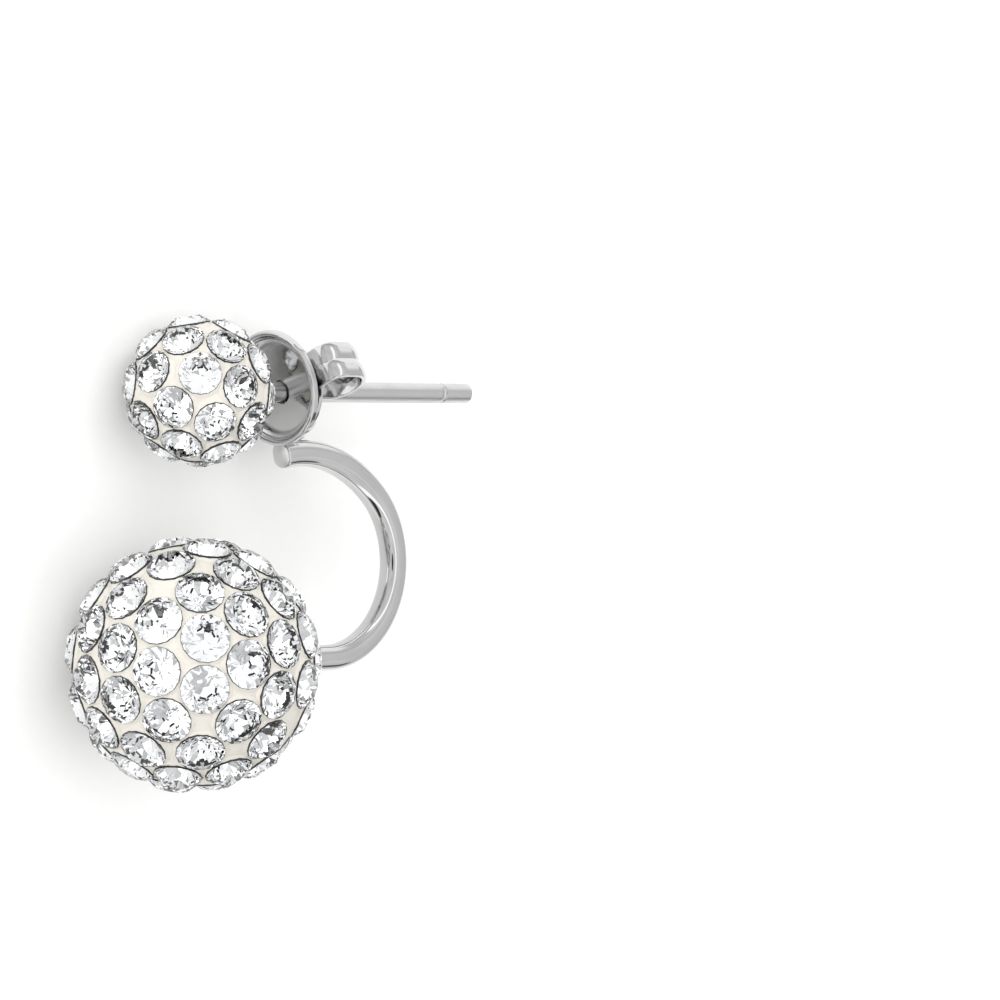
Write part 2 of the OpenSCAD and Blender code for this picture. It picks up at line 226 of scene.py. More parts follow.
class EarringStage(PropertyGroup):
    scale: number("Picture scale", "Picture dots per millimetre", 25.7)
    ball_right: number("Ball, right", "Small ball's place across the picture", 199)
    ball_down: number("Ball, down", "Small ball's place down the picture", 391)
    lens: number("Lens", "Focal length in millimetres", 400)
    floor_w: length("Floor", "Width of the floor", 3000)
    lamps: FloatProperty(name="Lamps", description="Power of the key softbox",
                         unit="POWER", default=1.55)
    sky: number("Surround", "Strength of the white surround", 1.0)


def add_object(name, data):
    made = bpy.data.objects.new(name, data)
    bpy.context.scene.collection.objects.link(made)
    return made


def loose_object(name, bm):
    """A mesh in the units and the frame it is drawn in, not laid down yet."""
    bmesh.ops.recalc_face_normals(bm, faces=bm.faces)
    mesh = bpy.data.meshes.new(name)
    bm.to_mesh(mesh)
    bm.free()
    return add_object(name, mesh)


def laid_object(name, bm, sharp=40):
    """A mesh drawn in millimetres in the earring's own frame, put where the earring lies.
    Edges that turn by more than so many degrees stay sharp."""
    piece = loose_object(name, bm)
    piece.data.transform(LAID)
    piece.data.shade_smooth()
    piece.data.set_sharp_from_angle(angle=math.radians(sharp))
    return piece


def apply_modifiers(piece):
    """Keeps what the modifiers make as a plain mesh."""
    shown = piece.evaluated_get(bpy.context.evaluated_depsgraph_get())
    made = bpy.data.meshes.new_from_object(shown)
    piece.modifiers.clear()
    old, piece.data = piece.data, made
    bpy.data.meshes.remove(old)


def lathe(bm, profile, steps=96, ring=False):
    """A solid turned about Z from (radius, height) points; a ring's profile closes on itself."""
    rows = []
    for radius, height in profile:
        if radius < 1e-6:
            rows.append([bm.verts.new((0, 0, height))])
        else:
            rows.append([bm.verts.new((radius * math.cos(2 * math.pi * i / steps),
                                       radius * math.sin(2 * math.pi * i / steps), height))
                         for i in range(steps)])
    pairs = list(zip(rows, rows[1:])) + ([(rows[-1], rows[0])] if ring else [])
    for low, high in pairs:
        for i in range(steps):
            j = (i + 1) % steps
            corners = list(dict.fromkeys((low[i % len(low)], low[j % len(low)],
                                          high[j % len(high)], high[i % len(high)])))
            if len(corners) > 2:
                bm.faces.new(corners)


def arc(centre, radius, start, end, steps):
    """Points on a circle in two axes, from one angle to another in degrees."""
    return [(centre[0] + radius * math.cos(math.radians(start + (end - start) * i / steps)),
             centre[1] + radius * math.sin(math.radians(start + (end - start) * i / steps)))
            for i in range(steps + 1)]


def skin(bm, rows):
    """A closed tube through rows of points, each row a closed section."""
    rows = [[bm.verts.new(point) for point in row] for row in rows]
    for low, high in zip(rows, rows[1:]):
        for i in range(len(low)):
            j = (i + 1) % len(low)
            bm.faces.new((low[i], low[j], high[j], high[i]))
    bm.faces.new(rows[0])
    bm.faces.new(rows[-1])


def drill(piece, radius, low, high, turn=Matrix()):
    """Takes a round hole along Z, or along Z as turned, out of a piece."""
    bm = bmesh.new()
    lathe(bm, [(0, low), (radius, low), (radius, high), (0, high)], 64)
    tool = loose_object("drill", bm)
    tool.data.transform(turn)
    difference = piece.modifiers.new("cut", "BOOLEAN")
    difference.operation = "DIFFERENCE"
    difference.solver = "EXACT"
    difference.object = tool
    apply_modifiers(piece)
    bpy.data.meshes.remove(tool.data)


def add_node(tree, kind, inputs=None, **settings):
    """Adds a node: settings are its own properties, inputs are values or sockets to link."""
    node = tree.nodes.new(kind)
    for name, value in settings.items():
        setattr(node, name, value)
    for key, value in (inputs or {}).items():
        if isinstance(value, bpy.types.NodeSocket):
            tree.links.new(value, node.inputs[key])
        else:
            node.inputs[key].default_value = value
    return node


def new_material(name):
    """An empty material, its tree, and the object's own coordinates in it."""
    material = bpy.data.materials.new(name)
    material.use_nodes = True
    tree = material.node_tree
    tree.nodes.clear()
    return material, tree, add_node(tree, "ShaderNodeTexCoord").outputs["Object"]


def two_tones(tree, where, scale, detail, one, other):
    """Patches of two colours, 1 / scale metres across: their pattern and their colour."""
    patch = add_node(tree, "ShaderNodeTexNoise", {
        "Vector": where, "Scale": scale, "Detail": detail}).outputs["Fac"]
    tint = add_node(tree, "ShaderNodeMixRGB", {
        "Fac": patch, "Color1": (*one, 1), "Color2": (*other, 1)})
    return patch, tint.outputs[0]


def polished_silver(name, finish, gloss, streak):
    """Rhodium-plated sterling silver, tumbled and buffed: bright and nearly white, with soft
    haze where the buff dwelt and lines about 0.05 mm apart drawn along the wire."""
    material, tree, where = new_material(name)
    along = add_node(tree, "ShaderNodeMapping", {
        "Vector": where, "Rotation": (0, -LAY_PITCH, 0), "Scale": (600, 9000, 9000)})
    haze, tint = two_tones(tree, where, 900.0, 3.0, finish.silver, finish.silver_dull)
    lines = add_node(tree, "ShaderNodeTexNoise", {
        "Vector": along.outputs[0], "Scale": 1.0, "Detail": 4.0})
    rough = add_node(tree, "ShaderNodeMapRange", {
        "Value": haze, "From Min": 0.3, "From Max": 0.7,
        "To Min": gloss[0], "To Max": gloss[1]})
    bump = add_node(tree, "ShaderNodeBump", {
        "Height": lines.outputs["Fac"], "Strength": streak, "Distance": 0.004 * MM})
    shader = add_node(tree, "ShaderNodeBsdfPrincipled", {
        "Base Color": tint, "Metallic": 1.0, "Roughness": rough.outputs[0],
        "Normal": bump.outputs[0]})
    add_node(tree, "ShaderNodeOutputMaterial", {"Surface": shader.outputs[0]})
    return material


def cut_crystal(name, finish):
    """Lead crystal, machine cut and polished: clear, with a faint cool tint from stone to stone."""
    material, tree, where = new_material(name)
    tint = two_tones(tree, where, 500.0, 1.0, finish.crystal, finish.crystal_cool)[1]
    shader = add_node(tree, "ShaderNodeBsdfPrincipled", {
        "Base Color": tint, "Roughness": 0.0, "IOR": 1.56, "Transmission Weight": 1.0})
    add_node(tree, "ShaderNodeOutputMaterial", {"Surface": shader.outputs[0]})
    return material


def silver_foil(name, finish):
    """Vacuum-coated silver foil on the pavilions: a mirror that throws the light back up."""
    material, tree, where = new_material(name)
    tint = two_tones(tree, where, 1400.0, 2.0, finish.foil, finish.foil_dark)[1]
    shader = add_node(tree, "ShaderNodeBsdfPrincipled", {
        "Base Color": tint, "Metallic": 1.0, "Roughness": 0.0})
    add_node(tree, "ShaderNodeOutputMaterial", {"Surface": shader.outputs[0]})
    return material


def foil_lacquer(name, finish):
    """Grey lacquer over the foil's edge at the girdle, darkened to near black: a thin dark line
    round each stone, partly the lacquer's own colour and partly painted shade for the gap under the
    girdle.
    """
    material, tree, where = new_material(name)
    tint = two_tones(tree, where, 1800.0, 2.0, finish.lacquer, finish.lacquer_and_shade_thin)[1]
    shader = add_node(tree, "ShaderNodeBsdfPrincipled", {"Base Color": tint, "Roughness": 0.35})
    add_node(tree, "ShaderNodeOutputMaterial", {"Surface": shader.outputs[0]})
    return material


def pressed_clay(name, finish):
    """Two-part epoxy clay, pressed by hand and cured matte: cream, with warmer patches
    about 1 mm across and a fine skin of finger-smoothed lumps."""
    material, tree, where = new_material(name)
    tint = two_tones(tree, where, 1000.0, 3.0, finish.clay, finish.clay_deep)[1]
    grain = add_node(tree, "ShaderNodeTexNoise", {"Vector": where, "Scale": 7000.0, "Detail": 4.0})
    rough = add_node(tree, "ShaderNodeMapRange", {
        "Value": grain.outputs["Fac"], "To Min": 0.5, "To Max": 0.75})
    bump = add_node(tree, "ShaderNodeBump", {
        "Height": grain.outputs["Fac"], "Strength": 0.4, "Distance": 0.02 * MM})
    shader = add_node(tree, "ShaderNodeBsdfPrincipled", {
        "Base Color": tint, "Roughness": rough.outputs[0], "Normal": bump.outputs[0]})
    add_node(tree, "ShaderNodeOutputMaterial", {"Surface": shader.outputs[0]})
    return material


def studio_board(name, finish):
    """White card with a matt coating: almost even, with a faint tooth."""
    material, tree, where = new_material(name)
    tooth, tint = two_tones(tree, where, 3000.0, 2.0, finish.floor, finish.floor_tooth)
    bump = add_node(tree, "ShaderNodeBump", {
        "Height": tooth, "Strength": 0.05, "Distance": 0.01 * MM})
    shader = add_node(tree, "ShaderNodeBsdfPrincipled", {
        "Base Color": tint, "Roughness": 0.7, "Specular IOR Level": 0.2,
        "Normal": bump.outputs[0]})
    add_node(tree, "ShaderNodeOutputMaterial", {"Surface": shader.outputs[0]})
    return material


def material_named(name, make, *values):
    return bpy.data.materials.get(name) or make(name, *values)


def large_at(jacket):
    """The large ball's middle, in millimetres, from the arm's named bends."""
    at, heading = last_bend(jacket)
    reach = jacket.run / MM
    return Vector((at[0] + reach * math.cos(heading), 0, at[1] + reach * math.sin(heading)))


def ways(heading):
    """The way ahead and the way across, at a heading in the plane of the post and both balls."""
    return (Vector((math.cos(heading), 0, math.sin(heading))),
            Vector((-math.sin(heading), 0, math.cos(heading))))


def after_bend(at, heading, radius, turn):
    """Where a bend that turns downward ends."""
    return (at[0] + radius * (math.sin(heading) - math.sin(heading - turn)),
            at[1] - radius * (math.cos(heading) - math.cos(heading - turn)))


def last_bend(jacket):
    """Where the arm's last bend ends, and its heading there."""
    start = (jacket.arm_x / MM, -jacket.arm_z / MM)
    shoulder = after_bend(start, jacket.climb, jacket.shoulder_r / MM, jacket.shoulder_turn)
    heading = jacket.climb - jacket.shoulder_turn
    belly = after_bend(shoulder, heading, jacket.belly_r / MM, jacket.belly_turn)
    return belly, heading - jacket.belly_turn


def both_balls(scene):
    """Each ball's name, body and middle in millimetres, its stones' width and its own."""
    balls = scene.earring_balls
    return (("small", "stud", SMALL_AT, balls.small_stone_d, balls.small_d),
            ("large", "jacket", large_at(scene.earring_jacket), balls.large_stone_d, balls.large_d))


def seats(node, centre, drop):
    """Where each stone of a CAD node sits: a point below its table, and its turn."""
    bm = bmesh.new()
    bm.from_mesh(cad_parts[node].data)
    bmesh.ops.remove_doubles(bm, verts=bm.verts, dist=STONE_WELD)
    seen, found = set(), []
    for vert in bm.verts:
        if vert in seen:
            continue
        stack, island = [vert], []
        seen.add(vert)
        while stack:
            here = stack.pop()
            island.append(here.co.copy())
            for edge in here.link_edges:
                other = edge.other_vert(here)
                if other not in seen:
                    seen.add(other)
                    stack.append(other)
        middle = sum(island, Vector()) / len(island)
        way = (middle - centre).normalized()
        # The eight corners of its table lie farthest out.
        table = sorted(island, key=lambda p: -(p - centre).dot(way))[:8]
        top = sum(table, Vector()) / len(table)
        way = (top - centre).normalized()
        corner = table[0] - top
        corner = (corner - way * corner.dot(way)).normalized()
        turn = Matrix((corner, way.cross(corner), way)).transposed()
        found.append((top - way * drop, turn.to_euler("XYZ")))
    bm.free()
    return found


def set_on_seats(name, template, found, lump, seed, material, marked=()):
    """Geometry Nodes put the template on every seat. Faces that carry a mark get the
    material that goes with it."""
    points = bpy.data.meshes.new(name)
    points.from_pydata([at for at, turn in found], [], [])
    turns = points.attributes.new("turn", "FLOAT_VECTOR", "POINT")
    turns.data.foreach_set("vector", [v for at, turn in found for v in turn])
    piece = add_object(name, points)

    tree = bpy.data.node_groups.new(name, "GeometryNodeTree")
    sockets = {}
    for label, kind in (("Geometry", "NodeSocketGeometry"), ("Template", "NodeSocketObject"),
                        ("Unevenness", "NodeSocketFloat"), ("Seed", "NodeSocketFloat"),
                        ("Lump spacing", "NodeSocketFloat")):
        socket = tree.interface.new_socket(label, in_out="INPUT", socket_type=kind)
        sockets[label] = socket.identifier
    tree.interface.new_socket("Geometry", in_out="OUTPUT", socket_type="NodeSocketGeometry")
    given = add_node(tree, "NodeGroupInput").outputs
    source = add_node(tree, "GeometryNodeObjectInfo", {"Object": given["Template"]})
    turned = add_node(tree, "GeometryNodeInputNamedAttribute", {"Name": "turn"},
                      data_type="FLOAT_VECTOR")
    rotation = add_node(tree, "FunctionNodeEulerToRotation", {"Euler": turned.outputs["Attribute"]})
    placed = add_node(tree, "GeometryNodeInstanceOnPoints", {
        "Points": given["Geometry"], "Instance": source.outputs["Geometry"],
        "Rotation": rotation.outputs[0]})
    real = add_node(tree, "GeometryNodeRealizeInstances", {"Geometry": placed.outputs[0]})
    spacing = add_node(tree, "ShaderNodeMath", {
        0: 1.0, 1: given["Lump spacing"]}, operation="DIVIDE")
    noise = add_node(tree, "ShaderNodeTexNoise", {
        "W": given["Seed"], "Scale": spacing.outputs[0], "Detail": 1.0}, noise_dimensions="4D")
    centred = add_node(tree, "ShaderNodeVectorMath", {
        0: noise.outputs["Color"], 1: (0.5, 0.5, 0.5)}, operation="SUBTRACT")
    offset = add_node(tree, "ShaderNodeVectorMath", {
        0: centred.outputs[0], "Scale": given["Unevenness"]}, operation="SCALE")
    moved = add_node(tree, "GeometryNodeSetPosition", {
        "Geometry": real.outputs[0], "Offset": offset.outputs[0]})
    shown = add_node(tree, "GeometryNodeSetMaterial", {
        "Geometry": moved.outputs[0], "Material": material})
    for mark, other in marked:
        chosen = add_node(tree, "GeometryNodeInputNamedAttribute", {"Name": mark},
                          data_type="BOOLEAN")
        shown = add_node(tree, "GeometryNodeSetMaterial", {
            "Geometry": shown.outputs[0], "Selection": chosen.outputs["Attribute"],
            "Material": other})
    add_node(tree, "NodeGroupOutput", {"Geometry": shown.outputs[0]})

    modifier = piece.modifiers.new(name, "NODES")
    modifier.node_group = tree
    modifier[sockets["Template"]] = template
    modifier[sockets["Unevenness"]] = 2 * lump
    modifier[sockets["Seed"]] = float(seed)
    modifier[sockets["Lump spacing"]] = LUMP_SPACING
    apply_modifiers(piece)
    bpy.data.meshes.remove(template.data)
    return piece


def stone_template(balls, width):
    """One full-cut stone in metres, its girdle at height 0: table, star, kite and half facets,
    a thin girdle and a pavilion marked as foiled, and the ring of the foil's edge round them,
    marked for the near-black lacquer that paints a shade line round the girdle."""
    crown = balls.crown * width
    girdle_t = balls.girdle * width
    pavilion = balls.pavilion * width
    shares = (balls.table, balls.star, balls.tail, 1)
    table_r, star_r, tail_r, girdle_r = (share * width / 2 for share in shares)
    inner, outer = 1.003 * girdle_r, balls.sealed * girdle_r
    high, low = -0.3 * girdle_t, -2 * girdle_t
    half = math.cos(math.pi / 8)
    star_z = crown * (girdle_r - star_r * half) / (girdle_r - table_r)
    tail_z = -girdle_t - pavilion * (1 - tail_r * half / girdle_r)

    def ring(count, radius, height, offset=0.0):
        return [(radius * math.cos(2 * math.pi * i / count + offset),
                 radius * math.sin(2 * math.pi * i / count + offset), height) for i in range(count)]

    # From point 0 the table, 8 the stars, 16 and 32 the girdle, 48 the kites' tails,
    # 56 the point at the back, 57 on the foil's edge ring, coloured near black as painted shade.
    points = (ring(8, table_r, crown) + ring(8, star_r, star_z, math.pi / 8)
              + ring(16, girdle_r, 0) + ring(16, girdle_r, -girdle_t)
              + ring(8, tail_r, tail_z, math.pi / 8) + [(0, 0, -girdle_t - pavilion)]
              + ring(16, inner, high) + ring(16, outer, high)
              + ring(16, outer, low) + ring(16, inner, low))
    clear, foiled, edge = [list(range(8))], [], []
    for i in range(8):
        j, k = (i + 1) % 8, (i + 7) % 8
        clear += [[8 + i, j, i], [8 + k, 16 + 2 * i, 8 + i, i],
                  [16 + 2 * i, 17 + 2 * i, 8 + i], [17 + 2 * i, 16 + 2 * j, 8 + i]]
        foiled += [[33 + 2 * i, 32 + 2 * i, 48 + i], [32 + 2 * j, 33 + 2 * i, 48 + i],
                   [48 + i, 32 + 2 * i, 48 + k, 56]]
    for i in range(16):
        j = (i + 1) % 16
        foiled.append([32 + i, 32 + j, 16 + j, 16 + i])
        for k in range(4):
            one, other = 57 + 16 * k, 57 + 16 * ((k + 1) % 4)
            edge.append([one + i, one + j, other + j, other + i])
    bm = bmesh.new()
    corners = [bm.verts.new(point) for point in points]
    for face in clear + foiled + edge:
        bm.faces.new([corners[i] for i in face])
    template = loose_object("stone", bm)
    faces = range(len(template.data.polygons))
    # The foil's edge ring gets a mark of its own: its near-black lacquer is painted shade round
    # each girdle.
    for name, first, count in (("foil", len(clear), len(foiled)),
                               ("sealed", len(clear) + len(foiled), len(edge))):
        mark = template.data.attributes.new(name, "BOOLEAN", "FACE")
        mark.data.foreach_set("value", [first <= i < first + count for i in faces])
    return template


def collar_template(stone_r, wide, ball_r, slope):
    """A ring of clay in metres, pressed up against a stone from the ball round it."""
    foot = stone_r + wide
    foot_z = math.sqrt(ball_r ** 2 - foot ** 2) - ball_r
    top = 0.15 * foot_z
    # The inside follows the pavilion, a sliver off it. The foot goes into the ball.
    sliver, deep, foot_in, root = 0.02 * MM, 0.25 * MM, 0.01 * MM, 0.12 * MM
    under = stone_r + slope * top + sliver
    profile = [(under - slope * deep, top - deep), (under, top), (stone_r, 1.03 * top)]
    profile += [(stone_r + out * wide, fall * foot_z) for out, fall in COLLAR_FALL]
    profile += [(foot, foot_z - foot_in), (foot, foot_z - root)]
    bm = bmesh.new()
    lathe(bm, profile, 40, ring=True)
    template = loose_object("collar", bm)
    template.data.shade_smooth()
    return template


class EARRING_OT_stones(Operator):
    """Cuts crystal for every seat of both balls, with foil on the backs"""
    bl_idname = "earring.stones"
    bl_label = "Cut Stones"

    def execute(self, context):
        scene = context.scene
        balls, finish = scene.earring_balls, scene.earring_finish
        crystal = material_named("cut_crystal", cut_crystal, finish)
        marked = (("foil", material_named("silver_foil", silver_foil, finish)),
                  # The foil's edge ring takes the near-black lacquer: painted shade round each
                  # stone.
                  ("sealed", material_named("foil_lacquer", foil_lacquer, finish)))
        for size, body, middle, width, across in both_balls(scene):
            node = size + "_stones"
            found = seats(node, LAID @ middle, balls.crown * width)
            piece = set_on_seats(size + "_cut_stones", stone_template(balls, width),
                                 found, 0.0, balls.seed, crystal, marked)
            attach(piece, body)
            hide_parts(node)
        return {"FINISHED"}


class EARRING_OT_clay(Operator):
    """Gives both balls their matte clay, pressed up round every stone"""
    bl_idname = "earring.clay"
    bl_label = "Pressed Clay"

    def execute(self, context):
        scene = context.scene
        balls, finish = scene.earring_balls, scene.earring_finish
        clay = material_named("pressed_clay", pressed_clay, finish)
        for size, body, middle, width, across in both_balls(scene):
            node = size + "_ball"
            core = bpy.data.meshes.new(size + "_clay_core")
            bm = bmesh.new()
            bm.from_mesh(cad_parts[node].data)
            bmesh.ops.remove_doubles(bm, verts=bm.verts, dist=CLAY_WELD)
            bm.to_mesh(core)
            bm.free()
            core.materials.append(clay)
            core.shade_smooth()
            core.set_sharp_from_angle(angle=math.radians(30))
            piece = add_object(size + "_clay_core", core)
            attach(piece, body)
            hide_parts(node)

            depth = (balls.crown + balls.girdle) * width
            found = seats(size + "_stones", LAID @ middle, depth)
            collar = collar_template(width / 2, balls.collar_w, across / 2 - depth,
                                     0.5 / balls.pavilion)
            collars = set_on_seats(size + "_clay_collars", collar, found,
                                   balls.collar_lump, balls.seed, clay)
            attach(collars, body)

        jacket = scene.earring_jacket
        rods = ((Vector((1, 0, 0)), scene.earring_post_nut.post_r / MM),
                (-ways(last_bend(jacket)[1])[0], jacket.arm_w / MM / 2))
        for (size, body, middle, width, across), (way, rod_r) in zip(both_balls(scene), rods):
            ball_r = (across / 2 - (balls.crown + balls.girdle) * width) / MM
            piece = self.seal(size, middle, way, ball_r, rod_r, balls)
            piece.data.materials.append(clay)
            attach(piece, body)
        return {"FINISHED"}

    def seal(self, size, centre, way, ball_r, rod_r, balls):
        """A low ring of clay pushed up against the metal where it goes into a ball."""
        wide, high = balls.seal_w / MM, balls.seal_h / MM

        def surface(radius):
            return math.sqrt(ball_r ** 2 - radius ** 2)

        sliver = 0.01
        inner, outer = rod_r - sliver, rod_r + wide
        profile = [(inner, surface(inner) - 0.3), (inner, surface(inner) + high),
                   (inner + 0.3 * wide, surface(inner) + 0.8 * high),
                   (inner + 0.6 * wide, surface(inner + 0.6 * wide) + 0.4 * high),
                   (outer, surface(outer) - sliver), (outer, surface(outer) - 0.2)]
        bm = bmesh.new()
        lathe(bm, profile, 64, ring=True)
        turn = way.to_track_quat("Z", "Y").to_matrix().to_4x4()
        bmesh.ops.transform(bm, matrix=Matrix.Translation(centre) @ turn, verts=bm.verts)
        return laid_object(size + "_clay_seal", bm)


class EARRING_OT_jacket(Operator):
    """Sweeps the arm, turns the dish and joins them with solder"""
    bl_idname = "earring.jacket"
    bl_label = "Polished Jacket"

    def execute(self, context):
        jacket, finish = context.scene.earring_jacket, context.scene.earring_finish
        r = jacket.dish_d / MM / 2
        floor = jacket.dish_floor / MM / 2
        lip = jacket.lip_w / MM / 2
        cove = jacket.cove_r / MM
        rise = jacket.back_rise / MM
        lip_z = floor + jacket.dish_depth / MM - lip
        back_r = (r * r + rise * rise) / (2 * rise)
        spread = math.degrees(math.asin(r / back_r))
        wall_r = r - 2 * lip
        cove_start = math.degrees(math.asin((lip_z - floor - cove) / cove))
        profile = arc((0, back_r - floor), back_r, -90, -90 + spread, 20)
        profile += [(r, (profile[-1][1] + lip_z) / 2)]
        profile += arc((r - lip, lip_z), lip, 0, 180, 16)
        profile += arc((wall_r - cove, floor + cove), cove, cove_start, -90, 16)[1:]
        profile += [(0, floor)]
        profile[0] = (0, profile[0][1])
        bm = bmesh.new()
        lathe(bm, profile, 144)
        bmesh.ops.translate(bm, vec=(jacket.dish_rise / MM, 0, 0), verts=bm.verts)
        dish = loose_object("dish", bm)
        drill(dish, jacket.hole_r / MM, -1, 2)
        dish.data.transform(Matrix.Translation((jacket.dish_x / MM, 0, 0))
                            @ Matrix.Rotation(-math.pi / 2 - jacket.lean, 4, "Y"))

        bm = bmesh.new()
        bm.from_mesh(dish.data)
        bpy.data.meshes.remove(dish.data)
        self.arm(bm, jacket, context.scene.earring_balls.large_d / MM / 2)
        self.solder(bm, jacket)
        piece = laid_object("polished_jacket", bm, 35)
        piece.data.materials.append(material_named(
            "buffed_silver", polished_silver, finish, (0.03, 0.08), 0.25))
        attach(piece, "jacket")
        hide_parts("jacket")
        return {"FINISHED"}

    def arm(self, bm, jacket, ball_r):
        """The bent wire, from its rounded cut end to the end sunk in the large ball."""
        thick, wide = jacket.arm_t / MM / 2, jacket.arm_w / MM / 2
        corner = jacket.arm_corner / MM
        section = []
        for a, s, start in ((1, 1, 0), (-1, 1, 90), (-1, -1, 180), (1, -1, 270)):
            section += arc((a * (thick - corner), s * (wide - corner)), corner,
                           start, start + 90, 9)
        at = Vector((jacket.arm_x / MM, 0, -jacket.arm_z / MM))
        heading = jacket.climb
        bevel = jacket.bevel / MM
        # The edge's rounding has one stop between its ends.
        part = 0.35
        ahead, way = ways(heading)
        stations = [(at, way, 1 - bevel / thick),
                    (at + ahead * part * bevel, way, 1 - part * bevel / thick),
                    (at + ahead * bevel, way, 1.0)]
        for radius, turn, steps in ((jacket.shoulder_r / MM, jacket.shoulder_turn, 48),
                                    (jacket.belly_r / MM, jacket.belly_turn, 120)):
            start_at, start_heading = (at.x, at.z), heading
            for i in range(1, steps + 1):
                now = turn * i / steps
                x, z = after_bend(start_at, start_heading, radius, now)
                heading = start_heading - now
                at = Vector((x, 0, z))
                ahead, way = ways(heading)
                stations.append((at, way, 1.0))
        straight = (jacket.run + jacket.arm_depth) / MM - ball_r
        steps = 6
        for i in range(1, steps + 1):
            stations.append((at + ahead * straight * i / steps, way, 1.0))
        skin(bm, [[at + way * (a * squeeze) + Vector((0, s * squeeze, 0)) for a, s in section]
                  for at, way, squeeze in stations])

    def solder(self, bm, jacket):
        """A small smooth bead where the dish's rim meets the arm."""
        bead = bmesh.ops.create_icosphere(bm, subdivisions=4, radius=1.0)["verts"]
        # Melted solder is never quite round.
        for vert in bead:
            vert.co *= 1 + 0.07 * math.sin(5 * vert.co.x + 2) * math.cos(4 * vert.co.y + 1)
        shape = (Matrix.Translation((jacket.bead_x / MM, 0, -jacket.bead_z / MM))
                 @ Matrix.Rotation(-jacket.bead_lean, 4, "Y")
                 @ Matrix.Diagonal((jacket.bead_long / MM, jacket.bead_wide / MM,
                                    jacket.bead_thick / MM, 1)))
        bmesh.ops.transform(bm, matrix=shape, verts=bead)


class EARRING_OT_post(Operator):
    """Turns the post with its stop groove and tapered tip"""
    bl_idname = "earring.post"
    bl_label = "Drawn Post"

    def execute(self, context):
        sizes, finish = context.scene.earring_post_nut, context.scene.earring_finish
        r, reach, root = sizes.post_r / MM, sizes.post_reach / MM, sizes.post_root / MM
        tip = sizes.tip_len / MM
        groove_r, depth = sizes.groove_r / MM, sizes.groove_depth / MM
        middle = reach - sizes.groove_at / MM
        reach_half = math.sqrt(groove_r ** 2 - (groove_r - depth) ** 2)
        spread = math.degrees(math.asin(reach_half / groove_r))
        profile = [(0, -root), (r, -root)] + [(r, stop) for stop in POST_STOPS]
        profile += arc((r + groove_r - depth, middle), groove_r, 180 + spread, 180 - spread, 10)
        profile += [(r, reach - tip - 0.03), (0.985 * r, reach - tip + 0.02),
                    (0.63 * r, reach - 0.03), (0.56 * r, reach), (0, reach)]
        bm = bmesh.new()
        lathe(bm, profile)
        bmesh.ops.transform(bm, matrix=Matrix.Rotation(math.pi / 2, 4, "Y"), verts=bm.verts)
        piece = laid_object("drawn_post", bm, 30)
        piece.data.materials.append(material_named(
            "drawn_silver", polished_silver, finish, (0.26, 0.34), 0.8))
        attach(piece, "stud")
        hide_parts("post")
        return {"FINISHED"}


